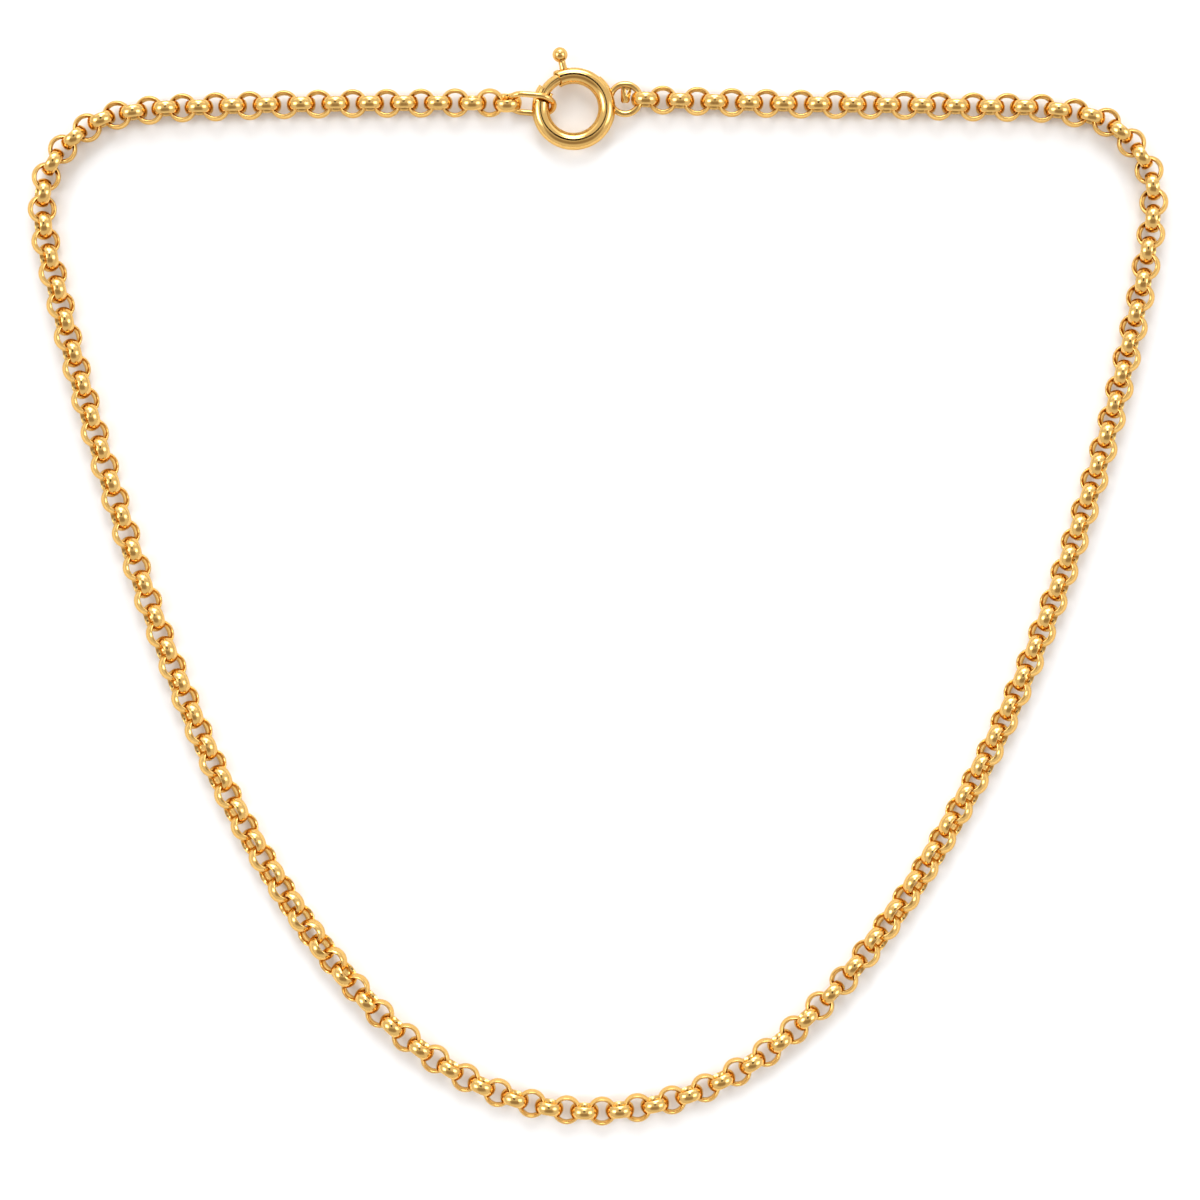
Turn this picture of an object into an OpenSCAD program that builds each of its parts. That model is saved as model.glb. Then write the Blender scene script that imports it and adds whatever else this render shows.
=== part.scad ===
// A plain necklace of round rolo links, laid out flat as one open loop.
// The loop is closed at its back by a bolt ring, which hooks into a wire jump ring.

/* [Loop] */

// Width of the laid loop, measured between the middles of its links
lay_w = 160; // [150:1:180]

/* [Links] */

// Outer diameter of one link
link_od = 4.2; // [4.2:0.05:4.5]
// Thickness of the link's wall at the middle of its band
link_wall = 0.7; // [0.6:0.01:0.71]
// Breadth of the link's band
link_band = 1.76; // [1.6:0.02:1.8]
// Height of the outer dome over the band's edges
dome_rise = 0.36; // [0.28:0.01:0.4]
// Thickness of the band at its two rims
link_rim = 0.04; // [0.04:0.01:0.08]
// Smallest air between two links
link_gap = 0.1; // [0.1:0.01:0.14]

/* [Bolt ring] */

// Outer diameter of the bolt ring
clasp_od = 12; // [11.5:0.1:13.5]
// Outer diameter of its bent tube
tube_od = 2.47; // [2.4:0.01:2.6]
// Thickness of the tube's wall
tube_wall = 0.3; // [0.25:0.01:0.32]
// Air between the bolt and the tube around it
bolt_air = 0.155; // [0.12:0.005:0.18]
// Thickness of the thumb knob's stem
stem_d = 1; // [0.8:0.05:1.1]
// Diameter of the thumb knob
knob_d = 2.17; // [1.9:0.01:2.4]
// Outer diameter of the fixed ring that is soldered to the tube
end_od = 5.2; // [5:0.05:5.6]
// Thickness of the fixed ring's wire
end_wire = 0.93; // [0.8:0.01:0.95]

/* [Jump ring] */

// Thickness of the jump ring's wire
jump_wire = 0.85; // [0.7:0.01:0.86]
// Width of the oval jump ring, measured over its wire
jump_w = 5.2; // [5.15:0.01:5.3]
// Length of the oval jump ring, measured over its wire
jump_len = 7.4; // [7.35:0.01:7.6]

/* [Hidden] */

$fn = 96;

// The section of a link: a dome outside, in a few narrow flats, and a crown inside
crown_rise = link_wall - dome_rise - link_rim;
link_r = link_od / 2;
hole_r = link_r - link_wall;
half_band = link_band / 2;
dome_r = (dome_rise * dome_rise + half_band * half_band) / (2 * dome_rise);
crown_r = (crown_rise * crown_rise + half_band * half_band) / (2 * crown_rise);
edge_r = link_r - dome_rise;
dome_spread = asin(half_band / dome_r);
dome_flats = 4;
dome = [for (k = [0 : dome_flats]) let (a = dome_spread * (2 * k / dome_flats - 1))
    [link_r - dome_r + dome_r * cos(a), dome_r * sin(a)]];
// Lean at which a link stops standing on its dome and stands on its edge
edge_lean = 90 - dome_spread;

// Closest and widest spacing of neighbouring links' middles
pitch_min = link_r + link_gap / 2;
rim_hole = hole_r + crown_rise;
pitch_max = 2 * min(hole_r, sqrt(rim_hole * rim_hole - half_band * half_band)) - link_gap;

// The bolt ring's tube, and where its parts sit around it in degrees
ring_r = (clasp_od - tube_od) / 2;
bore_d = tube_od - 2 * tube_wall;
bolt_d = bore_d - 2 * bolt_air;
mouth_at = 118.5;
mouth_lean = 14;
catch_at = 146;
bore_end = -150;
bolt_tail = 92;
bolt_tip = 165;
knob_at = 104.3;
slot_start = 50;
slot_end = knob_at + 7.7;
notch_end = bolt_tip + 5;
socket_end = bolt_tip + 13;
// Height of the bolt ring's middle over the ground
clasp_z = 2.35;
// The notch leaves a lip of the tube's outer wall standing and slopes down inward from it
lip = 0.56;
lip_x = tube_od / 2 - lip;
lip_z = sqrt(tube_od * tube_od / 4 - lip_x * lip_x);
notch_slope = 26;
slot_h = 1.24 * stem_d + 0.24;
knob_reach = clasp_od / 2 + 0.9 * knob_d;

// Where the parts of the closure lie
grow = lay_w / 160;
clasp_at = [-3.5, 68.7] * grow;
jump_lean = 61;
jump_turn = -5;
jump_r = (jump_w - jump_wire) / 2;
jump_run = jump_len - jump_w;
jump_at = clasp_at + [-ring_r - 1.36, 0.65];
jump_z = jump_r * sin(jump_lean) + jump_wire / 2 + 0.02;
jump_tip = jump_at - (jump_r + jump_run / 2) * [cos(jump_turn), sin(jump_turn)];
end_r = (end_od - end_wire) / 2;
end_at = clasp_at + (clasp_od + 0.59 * end_od) / 2 * [cos(10.3), sin(10.3)];
end_z = 2.2;

// The middles of the first and the last link, hooked into the jump ring and the fixed ring
first_at = jump_tip + [-0.17, -0.1];
last_at = end_at + [end_r + hole_r - end_wire / 2 - link_gap - 0.03, -0.05];

// Points that the chain's line passes through, in mm on a loop 160 mm wide
route = [
    [-22.5, 69.5], [-56.2, 68.9], [-64.2, 68.5], [-72.0, 66.8], [-78.0, 61.7], [-76.8, 38.1],
    [-74.8, 30.4], [-68.5, 9.4], [-64.5, -2.8], [-60.0, -14.7], [-54.6, -27.3], [-48.6, -38.6],
    [-38.7, -53.2], [-26.8, -65.6], [-14.9, -72.7], [-5.1, -75.3], [12.4, -73.4], [20.2, -69.8],
    [32.4, -59.9], [44.4, -44.8], [51.0, -34.0], [57.6, -21.4], [63.2, -8.5], [69.0, 7.6],
    [73.7, 23.2], [77.2, 37.8], [78.8, 45.7], [78.8, 60.9], [73.4, 66.6], [65.7, 68.5],
    [55.0, 68.9], [21.6, 69.5]
];

// How far the neighbours are drawn apart along the chain
// [share of the chain's length, 0 for pushed together to 1 for drawn tight]
slack = [
    [0.000, 0.69], [0.006, 0.66], [0.015, 0.54], [0.075, 0.59], [0.090, 0.46], [0.120, 0.34],
    [0.210, 0.38], [0.240, 0.72], [0.270, 0.72], [0.300, 0.62], [0.330, 0.68], [0.365, 0.87],
    [0.380, 0.71], [0.408, 0.67], [0.425, 0.79], [0.445, 0.77], [0.465, 0.73], [0.500, 0.73],
    [0.560, 0.72], [0.594, 0.59], [0.625, 0.56], [0.655, 0.40], [0.684, 0.31], [0.740, 0.30],
    [0.767, 0.19], [0.794, 0.16], [0.823, 0.32], [0.853, 0.35], [0.881, 0.52], [0.911, 0.58],
    [0.943, 0.61], [1.000, 0.59]
];

// How the links lean over along the chain, in degrees toward the inside of the loop
// [share of the chain's length, lean of the links laid flat, lean of the links laid on edge]
lean = [
    [0.000, 19, 25], [0.005, 19, 22], [0.010, 12, 14], [0.016, 4, 6], [0.022, -1, 3],
    [0.030, -4, 0], [0.114, -3, 0], [0.124, 3, 4], [0.134, 8, 8], [0.143, 16, 13],
    [0.152, 22, 19], [0.168, 28, 23], [0.210, 31, 24], [0.270, 33, 25], [0.305, 38, 29],
    [0.330, 40, 34], [0.350, 41, 37], [0.365, 43, 41], [0.378, 48, 47], [0.388, 55, 55],
    [0.398, 64, 64], [0.408, 73, 73], [0.418, 80, 80], [0.428, 85, 85], [0.464, 86, 86],
    [0.523, 86, 86], [0.555, 86, 87], [0.566, 91, 92], [0.576, 102, 103], [0.588, 116, 118],
    [0.600, 125, 132], [0.622, 126, 136], [0.655, 121, 134], [0.688, 114, 128], [0.733, 111, 125],
    [0.793, 108, 120], [0.818, 106, 114], [0.832, 104, 112], [0.843, 102, 108], [0.853, 97, 100], [0.862, 93, 94],
    [0.871, 90, 87], [1.000, 90, 87]
];

// A smooth line through the points, with eleven steps from each point to the next
knots = concat([first_at], [for (p = route) p * grow], [last_at]);
last_knot = len(knots) - 1;
steps = 11;

function gap_after(i) = norm(knots[i + 1] - knots[i]);
function way(i) = (knots[i + 1] - knots[i]) / gap_after(i);
function slope(i) =
    i == 0 ? way(0)
    : i == last_knot ? way(i - 1)
    : (way(i - 1) * gap_after(i) + way(i) * gap_after(i - 1)) / (gap_after(i - 1) + gap_after(i));
function between(i, u) =
    knots[i] * (2 * u * u * u - 3 * u * u + 1)
    + knots[i + 1] * (3 * u * u - 2 * u * u * u)
    + (slope(i) * (u * u * u - 2 * u * u + u) + slope(i + 1) * (u * u * u - u * u)) * gap_after(i);

line = concat(
    [for (i = [0 : last_knot - 1]) for (k = [0 : steps - 1]) between(i, k / steps)],
    [last_at]
);
marks = len(line);
run = [for (i = 0, s = 0; i < marks;
    s = s + (i + 1 < marks ? norm(line[i + 1] - line[i]) : 0), i = i + 1) s];
length = run[marks - 1];

// The links are counted along the line, an even number of them in all
function pitch_at(s) = pitch_min + lookup(s / length, slack) * (pitch_max - pitch_min);
tally = [for (i = 0, n = 0; i < marks;
    n = n + (i + 1 < marks ? (run[i + 1] - run[i]) / pitch_at((run[i] + run[i + 1]) / 2) : 0),
    i = i + 1) n];
links = 2 * round((tally[marks - 1] + 1) / 2);
by_count = [for (i = [0 : marks - 1]) [tally[i] * (links - 1) / tally[marks - 1], run[i]]];
x_by_run = [for (i = [0 : marks - 1]) [run[i], line[i][0]]];
y_by_run = [for (i = [0 : marks - 1]) [run[i], line[i][1]]];
lean_odd = [for (row = lean) [row[0], row[1]]];
lean_even = [for (row = lean) [row[0], row[2]]];

function middle(i) =
    let (s = lookup(i, by_count)) [lookup(s, x_by_run), lookup(s, y_by_run)];
function heading(i) =
    let (step = middle(min(i + 1, links - 1)) - middle(max(i - 1, 0))) atan2(step[1], step[0]);
function roll(i) =
    let (share = lookup(i, by_count) / length)
    i % 2 == 0 ? 90 + lookup(share, lean_even) : lookup(share, lean_odd);
// Height of a leaning link's middle when the link stands on the ground
function upright(i) = asin(min(abs(sin(roll(i))), 1));
function stand(i) =
    let (a = upright(i))
    a > edge_lean ? (link_r - dome_r) * sin(a) + dome_r : edge_r * sin(a) + half_band * cos(a);
function height(i) = max(stand(i), stand(max(i - 1, 0)), stand(min(i + 1, links - 1)));

// One link lying flat with its hole along Z
module link() {
    rotate_extrude() intersection() {
        polygon(concat(dome, [[hole_r - 0.1, half_band], [hole_r - 0.1, -half_band]]));
        translate([hole_r + crown_r, 0]) circle(crown_r);
    }
}

// All links of the chain, every one turned a quarter turn to its neighbours
module chain() {
    color([0.83, 0.66, 0.35])
    for (i = [0 : links - 1]) {
        spot = middle(i);
        translate([spot[0], spot[1], height(i)]) rotate([-roll(i), 0, heading(i)]) link();
    }
}

// An arc of round wire or tube about Z
module arc(radius, wire, start, sweep) {
    rotate_extrude(angle = sweep, start = start) translate([radius, 0]) circle(d = wire);
}

// The oval wire ring between the chain and the bolt ring
module jump_ring() {
    color([0.83, 0.66, 0.35])
    translate([jump_at[0], jump_at[1], jump_z]) rotate([jump_lean, 0, jump_turn]) {
        translate([jump_run / 2, 0, 0]) arc(jump_r, jump_wire, -90, 180);
        translate([-jump_run / 2, 0, 0]) arc(jump_r, jump_wire, 90, 180);
        for (side = [-1, 1])
            translate([-jump_run / 2, side * jump_r, 0]) rotate([0, 90, 0])
                cylinder(d = jump_wire, h = jump_run);
    }
}

// The ring soldered to the bolt ring, with the small lug inside it
module end_ring() {
    translate([end_at[0] - clasp_at[0], end_at[1] - clasp_at[1], end_z - clasp_z]) {
        rotate_extrude() translate([end_r, 0]) circle(d = end_wire);
        translate([0, 0, -0.35]) linear_extrude(0.4) difference() {
            polygon([
                [-0.62, end_r - 0.2], [-0.62, -0.3], [-0.42, -0.52], [0.38, -0.52],
                [0.62, -0.28], [0.95, end_r - 0.6]
            ]);
            polygon([[0.04, 1.4], [0.48, 1.2], [0.16, 0.6]]);
        }
        translate([0, 0, -0.1]) linear_extrude(0.45)
            polygon([
                [-0.6, end_r - 0.3], [-0.28, end_r - 0.3], [0.13, 0.3], [0.55, 1.3],
                [0.85, 1.1], [0.32, -0.18], [0, -0.18]
            ]);
    }
}

// The bolt ring's tube with its mouth, slot, notch and socket, and the fixed ring
module clasp_body() {
    color([0.83, 0.66, 0.35])
    translate([clasp_at[0], clasp_at[1], clasp_z]) difference() {
        union() {
            arc(ring_r, tube_od, catch_at, 360 - catch_at + mouth_at + 6);
            end_ring();
        }
        arc(ring_r, bore_d, bore_end, mouth_at - bore_end + 8);
        rotate([0, 0, mouth_at]) translate([ring_r, 0, 0]) rotate([mouth_lean, 0, 0])
            translate([-tube_od, 0, -tube_od]) cube([2 * tube_od, tube_od / 2, 2 * tube_od]);
        arc(ring_r, bore_d, catch_at - 2, socket_end - catch_at + 2);
        rotate_extrude(angle = slot_end - slot_start, start = slot_start)
            translate([ring_r, -slot_h / 2]) square([tube_od, slot_h]);
        rotate_extrude(angle = notch_end - catch_at + 2, start = catch_at - 2)
            translate([ring_r + lip_x, lip_z]) rotate(notch_slope)
                translate([-1.5 * tube_od, 0]) square([2.5 * tube_od, tube_od]);
    }
}

// The sprung bolt in the tube, with its stem and thumb knob
module clasp_bolt() {
    color([0.83, 0.66, 0.35])
    translate([clasp_at[0], clasp_at[1], clasp_z]) {
        arc(ring_r, bolt_d, bolt_tail, bolt_tip - bolt_tail);
        rotate([0, 0, knob_at]) {
            translate([ring_r, 0, 0]) rotate([0, 90, 0])
                cylinder(d = stem_d, h = knob_reach - ring_r);
            translate([ring_r + 0.3, 0, 0]) rotate([0, 90, 0])
                cylinder(d1 = 1.24 * stem_d, d2 = stem_d, h = 1.6 * stem_d);
            translate([knob_reach, 0, 0]) sphere(d = knob_d);
        }
    }
}

chain();
jump_ring();
clasp_body();
clasp_bolt();
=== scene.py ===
import math

import bmesh
import bpy
import numpy as np
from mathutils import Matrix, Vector


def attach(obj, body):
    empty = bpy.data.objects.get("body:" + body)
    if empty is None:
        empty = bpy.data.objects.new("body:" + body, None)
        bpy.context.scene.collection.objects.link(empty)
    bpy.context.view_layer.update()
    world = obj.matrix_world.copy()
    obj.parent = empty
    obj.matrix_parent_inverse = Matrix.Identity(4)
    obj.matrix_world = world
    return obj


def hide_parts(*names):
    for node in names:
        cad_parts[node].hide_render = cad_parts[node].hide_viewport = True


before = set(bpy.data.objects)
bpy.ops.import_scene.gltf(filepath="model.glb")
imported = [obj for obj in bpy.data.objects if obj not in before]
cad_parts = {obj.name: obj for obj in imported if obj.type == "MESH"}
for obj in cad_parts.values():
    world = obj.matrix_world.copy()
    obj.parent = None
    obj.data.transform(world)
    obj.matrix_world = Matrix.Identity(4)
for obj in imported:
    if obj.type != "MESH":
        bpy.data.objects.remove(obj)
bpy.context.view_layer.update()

# The chain: round rolo links of broad D-shaped wire, domed outside and nearly flat inside,
# each a quarter turn to its neighbours. Every link is bent from solid yellow gold alloy and
# soldered shut, then the whole chain is tumbled and polished.
MM = 0.001
LINK_OUTER = 4.2 * MM
LINK_WALL = 0.7 * MM
LINK_BAND = 1.76 * MM
DOME_RADIUS = 1.42 * MM
LIP_RADIUS = 0.13 * MM
LINK_SEGMENTS = 28
DOME_STEPS = 6
LIP_STEPS = 4
CROWN_STEPS = 3
SAME_POINT = 1e-7
GOLD_LIGHT = (0.83, 0.555, 0.22, 1)
GOLD_DEEP = (0.77, 0.48, 0.165, 1)
GOLD_EDGE = (0.92, 0.76, 0.47, 1)


def polish_group():
    """Soft clouding, fine rubbing marks and slow ripples of hand-polished metal."""
    tree = bpy.data.node_groups.new("hand_polish", "ShaderNodeTree")
    socket = tree.interface.new_socket
    for name, kind, value in (
        ("Light", "NodeSocketColor", GOLD_LIGHT), ("Deep", "NodeSocketColor", GOLD_DEEP),
        ("Cloud Scale", "NodeSocketFloat", 300.0), ("Mark Scale", "NodeSocketFloat", 2600.0),
        ("Gloss", "NodeSocketFloat", 0.12), ("Rubbed", "NodeSocketFloat", 0.24),
    ):
        socket(name, in_out="INPUT", socket_type=kind).default_value = value
    socket("Colour", in_out="OUTPUT", socket_type="NodeSocketColor")
    socket("Roughness", in_out="OUTPUT", socket_type="NodeSocketFloat")
    socket("Height", in_out="OUTPUT", socket_type="NodeSocketFloat")
    nodes, link = tree.nodes, tree.links.new
    given, made = nodes.new("NodeGroupInput"), nodes.new("NodeGroupOutput")
    place = nodes.new("ShaderNodeTexCoord")
    cloud, marks = nodes.new("ShaderNodeTexNoise"), nodes.new("ShaderNodeTexNoise")
    cloud.inputs["Detail"].default_value = 3
    marks.inputs["Detail"].default_value = 5
    for noise, scale in ((cloud, "Cloud Scale"), (marks, "Mark Scale")):
        link(place.outputs["Object"], noise.inputs["Vector"])
        link(given.outputs[scale], noise.inputs["Scale"])
    tint = nodes.new("ShaderNodeMix")
    tint.data_type = "RGBA"
    link(cloud.outputs["Fac"], tint.inputs["Factor"])
    link(given.outputs["Light"], tint.inputs["A"])
    link(given.outputs["Deep"], tint.inputs["B"])
    link(tint.outputs["Result"], made.inputs["Colour"])
    rub = nodes.new("ShaderNodeMapRange")
    rub.inputs["From Min"].default_value = 0.35
    rub.inputs["From Max"].default_value = 0.75
    link(marks.outputs["Fac"], rub.inputs["Value"])
    link(given.outputs["Gloss"], rub.inputs["To Min"])
    link(given.outputs["Rubbed"], rub.inputs["To Max"])
    link(rub.outputs["Result"], made.inputs["Roughness"])
    ripple = nodes.new("ShaderNodeMath")
    ripple.operation = "MULTIPLY_ADD"
    ripple.inputs[1].default_value = 0.06
    link(marks.outputs["Fac"], ripple.inputs[0])
    link(cloud.outputs["Fac"], ripple.inputs[2])
    link(ripple.outputs["Value"], made.inputs["Height"])
    return tree


hand_polish = polish_group()


def polished_gold(name, gloss, rubbed, ripple, cloud_scale=300.0):
    """Solid yellow gold alloy, with its own gloss and depth of polishing ripple in mm."""
    metal = bpy.data.materials.new(name)
    metal.use_nodes = True
    nodes, link = metal.node_tree.nodes, metal.node_tree.links.new
    shader = nodes["Principled BSDF"]
    shader.inputs["Metallic"].default_value = 1.0
    shader.inputs["Specular Tint"].default_value = GOLD_EDGE
    polish = nodes.new("ShaderNodeGroup")
    polish.node_tree = hand_polish
    polish.inputs["Gloss"].default_value = gloss
    polish.inputs["Rubbed"].default_value = rubbed
    polish.inputs["Cloud Scale"].default_value = cloud_scale
    bump = nodes.new("ShaderNodeBump")
    bump.inputs["Strength"].default_value = 1.0
    bump.inputs["Distance"].default_value = ripple * MM
    link(polish.outputs["Colour"], shader.inputs["Base Color"])
    link(polish.outputs["Roughness"], shader.inputs["Roughness"])
    link(polish.outputs["Height"], bump.inputs["Height"])
    link(bump.outputs["Normal"], shader.inputs["Normal"])
    return metal


def band_section():
    """The link's closed section as (radius, height): dome, rolled lip, crown, rolled lip."""
    outer, inner = LINK_OUTER / 2, LINK_OUTER / 2 - LINK_WALL
    dome_middle = outer - DOME_RADIUS
    lip_height = LINK_BAND / 2 - LIP_RADIUS
    dome_spread = math.asin(lip_height / (DOME_RADIUS - LIP_RADIUS))
    lip_middle = dome_middle + (DOME_RADIUS - LIP_RADIUS) * math.cos(dome_spread)
    reach = lip_middle - inner
    crown_radius = ((reach * reach + lip_height * lip_height - LIP_RADIUS * LIP_RADIUS)
                    / (2 * (reach - LIP_RADIUS)))
    crown_middle = inner + crown_radius
    crown_spread = math.asin(lip_height / (crown_radius - LIP_RADIUS))
    lip_turn = math.pi - crown_spread - dome_spread
    points = []
    for k in range(DOME_STEPS + 1):
        a = dome_spread * (2 * k / DOME_STEPS - 1)
        points.append((dome_middle + DOME_RADIUS * math.cos(a), DOME_RADIUS * math.sin(a)))
    for k in range(1, LIP_STEPS):
        a = dome_spread + lip_turn * k / LIP_STEPS
        points.append((lip_middle + LIP_RADIUS * math.cos(a),
                       lip_height + LIP_RADIUS * math.sin(a)))
    for k in range(CROWN_STEPS + 1):
        a = crown_spread * (1 - 2 * k / CROWN_STEPS)
        points.append((crown_middle - crown_radius * math.cos(a), crown_radius * math.sin(a)))
    for k in range(1, LIP_STEPS):
        a = dome_spread + lip_turn * (1 - k / LIP_STEPS)
        points.append((lip_middle + LIP_RADIUS * math.cos(a),
                       -lip_height - LIP_RADIUS * math.sin(a)))
    return points


def link_mesh():
    """One link, lying flat about the origin with its hole along Z."""
    section = band_section()
    count = len(section)
    ring = bmesh.new()
    rows = []
    for i in range(LINK_SEGMENTS):
        turn = 2 * math.pi * i / LINK_SEGMENTS
        rows.append([ring.verts.new((r * math.cos(turn), r * math.sin(turn), h))
                     for r, h in section])
    for i in range(LINK_SEGMENTS):
        here, there = rows[i], rows[(i + 1) % LINK_SEGMENTS]
        for j in range(count):
            k = (j + 1) % count
            ring.faces.new((here[j], there[j], there[k], here[k])).smooth = True
    bmesh.ops.recalc_face_normals(ring, faces=ring.faces)
    mesh = bpy.data.meshes.new("one_link")
    ring.to_mesh(mesh)
    ring.free()
    return mesh


def loose_solids(node):
    """The separate solids of a CAD node, each as its triangles' corners."""
    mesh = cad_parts[node].data
    mesh.calc_loop_triangles()
    points = np.empty(len(mesh.vertices) * 3)
    mesh.vertices.foreach_get("co", points)
    points = points.reshape(-1, 3)
    corners = np.empty(len(mesh.loop_triangles) * 3, int)
    mesh.loop_triangles.foreach_get("vertices", corners)
    corners = corners.reshape(-1, 3)
    steps = np.round(points / SAME_POINT).astype(np.int64)
    same = np.unique(steps, axis=0, return_inverse=True)[1].reshape(-1)
    corners = same[corners]
    flat = np.empty((corners.max() + 1, 3))
    flat[same] = points
    label = np.arange(len(flat))
    while True:
        least = label[corners].min(axis=1)
        fresh = label.copy()
        for k in range(3):
            np.minimum.at(fresh, corners[:, k], least)
        fresh = fresh[fresh]
        if np.array_equal(fresh, label):
            break
        label = fresh
    owner = label[corners[:, 0]]
    order = np.argsort(owner, kind="stable")
    cuts = np.flatnonzero(np.diff(owner[order])) + 1
    return [flat[corners[part]] for part in np.split(order, cuts)]


def ring_pose(triangles):
    """The middle of a ring and the way its hole faces, from its triangles."""
    area = np.linalg.norm(np.cross(triangles[:, 1] - triangles[:, 0],
                                   triangles[:, 2] - triangles[:, 0]), axis=1)
    centres = triangles.mean(axis=1)
    middle = (centres * area[:, None]).sum(axis=0) / area.sum()
    off = centres - middle
    spread = (off * area[:, None]).T @ off
    return middle, np.linalg.eigh(spread)[1][:, 0]


def links_tree():
    """Puts a copy of one link on every point, with its hole along the point's own axis."""
    tree = bpy.data.node_groups.new("lay_links", "GeometryNodeTree")
    socket = tree.interface.new_socket
    socket("Geometry", in_out="INPUT", socket_type="NodeSocketGeometry")
    socket("Link", in_out="INPUT", socket_type="NodeSocketObject")
    socket("Link Size", in_out="INPUT", socket_type="NodeSocketFloat").default_value = 1.0
    socket("Metal", in_out="INPUT", socket_type="NodeSocketMaterial")
    socket("Geometry", in_out="OUTPUT", socket_type="NodeSocketGeometry")
    nodes, link = tree.nodes, tree.links.new
    given, made = nodes.new("NodeGroupInput"), nodes.new("NodeGroupOutput")
    one = nodes.new("GeometryNodeObjectInfo")
    axis = nodes.new("GeometryNodeInputNamedAttribute")
    axis.data_type = "FLOAT_VECTOR"
    axis.inputs["Name"].default_value = "hole_axis"
    aim = nodes.new("FunctionNodeAlignRotationToVector")
    aim.axis = "Z"
    place = nodes.new("GeometryNodeInstanceOnPoints")
    solid = nodes.new("GeometryNodeRealizeInstances")
    dress = nodes.new("GeometryNodeSetMaterial")
    link(given.outputs["Link"], one.inputs["Object"])
    link(axis.outputs["Attribute"], aim.inputs["Vector"])
    link(given.outputs["Geometry"], place.inputs["Points"])
    link(one.outputs["Geometry"], place.inputs["Instance"])
    link(aim.outputs["Rotation"], place.inputs["Rotation"])
    link(given.outputs["Link Size"], place.inputs["Scale"])
    link(place.outputs["Instances"], solid.inputs["Geometry"])
    link(solid.outputs["Geometry"], dress.inputs["Geometry"])
    link(given.outputs["Metal"], dress.inputs["Material"])
    link(dress.outputs["Geometry"], made.inputs["Geometry"])
    return tree


def socket_id(tree, name):
    """The identifier that a modifier keeps a node group's input under."""
    return next(s.identifier for s in tree.interface.items_tree
                if s.item_type == "SOCKET" and s.in_out == "INPUT" and s.name == name)


chain_gold = polished_gold("chain_gold", gloss=0.13, rubbed=0.24, ripple=0.012)
laid = [ring_pose(solid) for solid in loose_solids("chain")]
spots = bpy.data.meshes.new("link_spots")
spots.from_pydata([middle.tolist() for middle, axis in laid], [], [])
hole_axis = spots.attributes.new("hole_axis", "FLOAT_VECTOR", "POINT")
hole_axis.data.foreach_set("vector", np.array([axis for middle, axis in laid]).ravel())
one_link = bpy.data.objects.new("one_link", link_mesh())
chain_maker = bpy.data.objects.new("chain_maker", spots)
for helper in (one_link, chain_maker):
    bpy.context.scene.collection.objects.link(helper)
lay_links = links_tree()
laying = chain_maker.modifiers.new("lay_links", "NODES")
laying.node_group = lay_links
laying[socket_id(lay_links, "Link")] = one_link
laying[socket_id(lay_links, "Metal")] = chain_gold
bpy.context.view_layer.update()
evaluated = chain_maker.evaluated_get(bpy.context.evaluated_depsgraph_get())
chain_links = bpy.data.objects.new("chain_links", bpy.data.meshes.new_from_object(evaluated))
bpy.context.scene.collection.objects.link(chain_links)
for helper in (chain_maker, one_link):
    bpy.data.objects.remove(helper)
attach(chain_links, "necklace")
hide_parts("chain")


# The jump ring: an oval ring of plain round wire, sawn from a wound coil, that joins the
# chain's left end to the bolt ring. Polished yellow gold alloy, with a butted joint.
CREASE_ANGLE = math.radians(35)


def smooth_copy(node, name, metal):
    """A CAD node's solid with its triangles joined and its curves shaded smooth."""
    body = bmesh.new()
    body.from_mesh(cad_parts[node].data)
    bmesh.ops.remove_doubles(body, verts=body.verts, dist=SAME_POINT)
    for face in body.faces:
        face.smooth = True
        face.material_index = 0
    mesh = bpy.data.meshes.new(name)
    body.to_mesh(mesh)
    body.free()
    mesh.set_sharp_from_angle(angle=CREASE_ANGLE)
    mesh.materials.append(metal)
    piece = bpy.data.objects.new(name, mesh)
    bpy.context.scene.collection.objects.link(piece)
    return piece


wire_gold = polished_gold("wire_gold", gloss=0.12, rubbed=0.22, ripple=0.008)
oval_ring = smooth_copy("jump_ring", "oval_ring", wire_gold)
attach(oval_ring, "necklace")
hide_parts("jump_ring")


# The bolt ring's body: a hollow tube bent to a ring, cut back at its catch, slotted for the
# thumb knob and polished. The fixed ring and its small lug are soldered on at the right.
tube_gold = polished_gold("tube_gold", gloss=0.1, rubbed=0.2, ripple=0.012, cloud_scale=160.0)
bolt_ring = smooth_copy("clasp_body", "bolt_ring", tube_gold)
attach(bolt_ring, "necklace")
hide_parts("clasp_body")


# The bolt: a bent wire that slides in the tube on a hidden spring, with a stem riveted in and
# a ball for the thumb. Polished yellow gold alloy, rubbed a little duller where it slides.
bolt_gold = polished_gold("bolt_gold", gloss=0.12, rubbed=0.26, ripple=0.01, cloud_scale=200.0)
thumb_bolt = smooth_copy("clasp_bolt", "thumb_bolt", bolt_gold)
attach(thumb_bolt, "bolt")
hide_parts("clasp_bolt")


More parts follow.
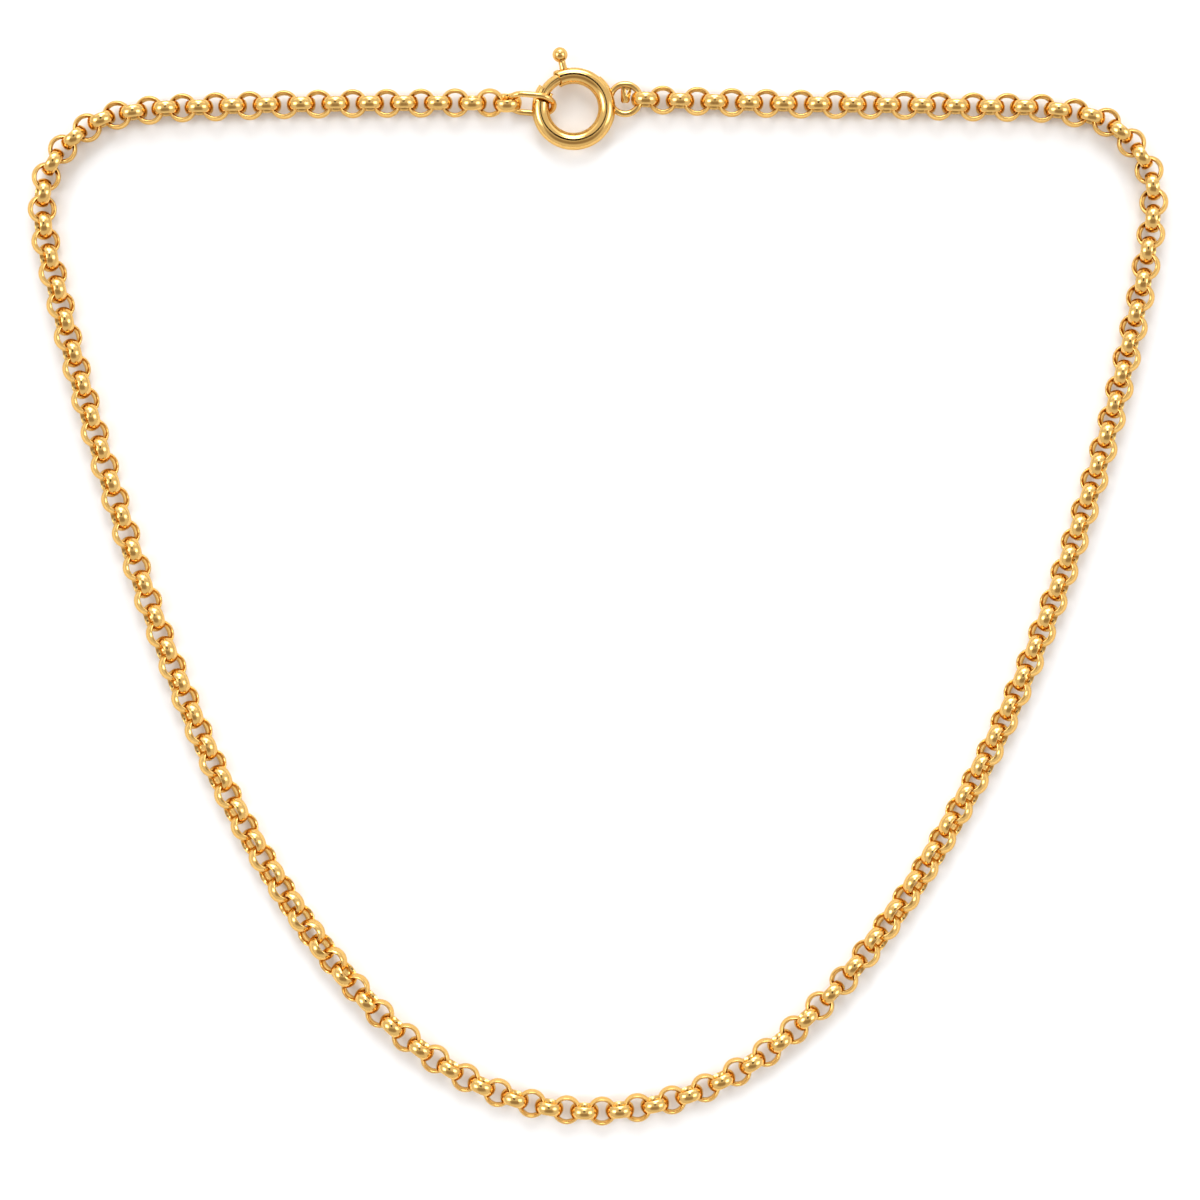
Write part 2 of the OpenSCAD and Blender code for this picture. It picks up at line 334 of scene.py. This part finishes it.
# The stage: a plain white sheet under the necklace, soft white boxes of light around it with
# warm dark gaps that give the metal its depth, and a camera looking straight down.
FLOOR_HALF = 4.0
floor_mesh = bpy.data.meshes.new("white_sheet")
floor_mesh.from_pydata([(x * FLOOR_HALF, y * FLOOR_HALF, 0)
                        for x, y in ((-1, -1), (1, -1), (1, 1), (-1, 1))], [], [(0, 1, 2, 3)])
white_sheet = bpy.data.objects.new("white_sheet", floor_mesh)
bpy.context.scene.collection.objects.link(white_sheet)
paper = bpy.data.materials.new("white_paper")
paper.use_nodes = True
paper_nodes = paper.node_tree.nodes
paper_shader = paper_nodes["Principled BSDF"]
paper_shader.inputs["Roughness"].default_value = 0.85
paper_shader.inputs["Specular IOR Level"].default_value = 0.2
fibres = paper_nodes.new("ShaderNodeTexNoise")
fibres.inputs["Scale"].default_value = 900
tone = paper_nodes.new("ShaderNodeValToRGB")
tone.color_ramp.elements[0].color = (0.925, 0.93, 0.945, 1)
tone.color_ramp.elements[1].color = (0.955, 0.96, 0.975, 1)
where = paper_nodes.new("ShaderNodeTexCoord")
paper.node_tree.links.new(where.outputs["Object"], fibres.inputs["Vector"])
paper.node_tree.links.new(fibres.outputs["Fac"], tone.inputs["Fac"])
paper.node_tree.links.new(tone.outputs["Color"], paper_shader.inputs["Base Color"])
floor_mesh.materials.append(paper)


HORIZON = 1e-4


def window_group():
    """A soft-edged rectangle of sky, as a mask over the directions of a world shader."""
    tree = bpy.data.node_groups.new("soft_window", "ShaderNodeTree")
    socket = tree.interface.new_socket
    for name in ("Direction", "Facing", "Across", "Upward"):
        socket(name, in_out="INPUT", socket_type="NodeSocketVector")
    for name in ("Half Width", "Half Height", "Softness"):
        socket(name, in_out="INPUT", socket_type="NodeSocketFloat")
    socket("Mask", in_out="OUTPUT", socket_type="NodeSocketFloat")
    nodes, link = tree.nodes, tree.links.new
    given, made = nodes.new("NodeGroupInput"), nodes.new("NodeGroupOutput")

    def along(axis):
        dot = nodes.new("ShaderNodeVectorMath")
        dot.operation = "DOT_PRODUCT"
        link(given.outputs["Direction"], dot.inputs[0])
        link(given.outputs[axis], dot.inputs[1])
        return dot.outputs["Value"]

    def worked(kind, first, second):
        step = nodes.new("ShaderNodeMath")
        step.operation = kind
        for value, slot in zip((first, second), step.inputs):
            if isinstance(value, (int, float)):
                slot.default_value = value
            else:
                link(value, slot)
        return step.outputs["Value"]

    ahead = worked("MAXIMUM", along("Facing"), HORIZON)
    mask = worked("GREATER_THAN", along("Facing"), 0)
    for axis, half in (("Across", "Half Width"), ("Upward", "Half Height")):
        offset = worked("DIVIDE", along(axis), ahead)
        edge = nodes.new("ShaderNodeMapRange")
        edge.interpolation_type = "SMOOTHSTEP"
        link(worked("ABSOLUTE", offset, 0), edge.inputs["Value"])
        link(worked("ADD", given.outputs[half], given.outputs["Softness"]),
             edge.inputs["From Min"])
        link(worked("SUBTRACT", given.outputs[half], given.outputs["Softness"]),
             edge.inputs["From Max"])
        mask = worked("MULTIPLY", mask, edge.outputs["Result"])
    link(mask, made.inputs["Mask"])
    return tree


room = bpy.data.worlds.new("room")
bpy.context.scene.world = room
room.use_nodes = True
room_nodes, room_link = room.node_tree.nodes, room.node_tree.links.new
soft_window = window_group()
gaze = room_nodes.new("ShaderNodeTexCoord").outputs["Generated"]

# Each window's brightness, then its azimuth, elevation, half width, half height and softness
# in degrees, as seen from the necklace. A later window covers the ones before it.
TENT_BRIGHTNESS = 0.76
WINDOWS = (
    (0.36, (-90, 62, 34, 20, 10)),
    (1.2, (90, 28, 46, 12, 10)),
    (5.0, (180, 44, 10, 12, 5)),
    (4.0, (0, 42, 10, 12, 5)),
    (6.5, (90, 30, 17, 8, 3)),
    (6.5, (90, 52, 7, 7, 3)),
    (0.0, (90, 77, 7, 11.5, 1.5)),
)


def window_mask(azimuth, elevation, half_width, half_height, softness):
    """The mask of a window that lies that way from the necklace, all in degrees."""
    a, e = math.radians(azimuth), math.radians(elevation)
    facing = Vector((math.cos(e) * math.cos(a), math.cos(e) * math.sin(a), math.sin(e)))
    across = Vector((-math.sin(a), math.cos(a), 0))
    window = room_nodes.new("ShaderNodeGroup")
    window.node_tree = soft_window
    room_link(gaze, window.inputs["Direction"])
    window.inputs["Facing"].default_value = facing
    window.inputs["Across"].default_value = across
    window.inputs["Upward"].default_value = facing.cross(across)
    for name, angle in (("Half Width", half_width), ("Half Height", half_height),
                        ("Softness", softness)):
        window.inputs[name].default_value = math.tan(math.radians(angle))
    return window.outputs["Mask"]


def blend_sky(brightness, target, mask):
    """Takes the sky's brightness over to the target inside the mask."""
    mix = room_nodes.new("ShaderNodeMix")
    room_link(mask, mix.inputs["Factor"])
    if isinstance(brightness, float):
        mix.inputs["A"].default_value = brightness
    else:
        room_link(brightness, mix.inputs["A"])
    mix.inputs["B"].default_value = target
    return mix.outputs["Result"]


sky = TENT_BRIGHTNESS
for target, place in WINDOWS:
    sky = blend_sky(sky, target, window_mask(*place))
warmth = room_nodes.new("ShaderNodeValToRGB")
warmth.color_ramp.elements[0].color = (1, 0.72, 0.42, 1)
warmth.color_ramp.elements[1].color = (1, 1, 1, 1)
warmth.color_ramp.elements[1].position = 0.6
room_link(sky, warmth.inputs["Fac"])
room_link(warmth.outputs["Color"], room_nodes["Background"].inputs["Color"])
room_link(sky, room_nodes["Background"].inputs["Strength"])

PHOTO_WIDTH = 1200
PHOTO_PIXELS_PER_METRE = 6.95 / MM
SENSOR_WIDTH = 36.0
CAMERA_DISTANCE = 0.52
CAMERA_TARGET = Vector((0.00029, -0.00201, LINK_OUTER / 2))
camera = bpy.data.objects.new("camera", bpy.data.cameras.new("camera"))
bpy.context.scene.collection.objects.link(camera)
camera.location = CAMERA_TARGET + Vector((0, 0, CAMERA_DISTANCE))
camera.data.sensor_width = SENSOR_WIDTH
camera.data.lens = SENSOR_WIDTH * CAMERA_DISTANCE * PHOTO_PIXELS_PER_METRE / PHOTO_WIDTH
camera.data.clip_start = 0.01
camera.data.clip_end = 10
bpy.context.scene.camera = camera
bpy.context.scene.view_settings.view_transform = "Standard"
bpy.context.scene.view_settings.look = "Medium High Contrast"
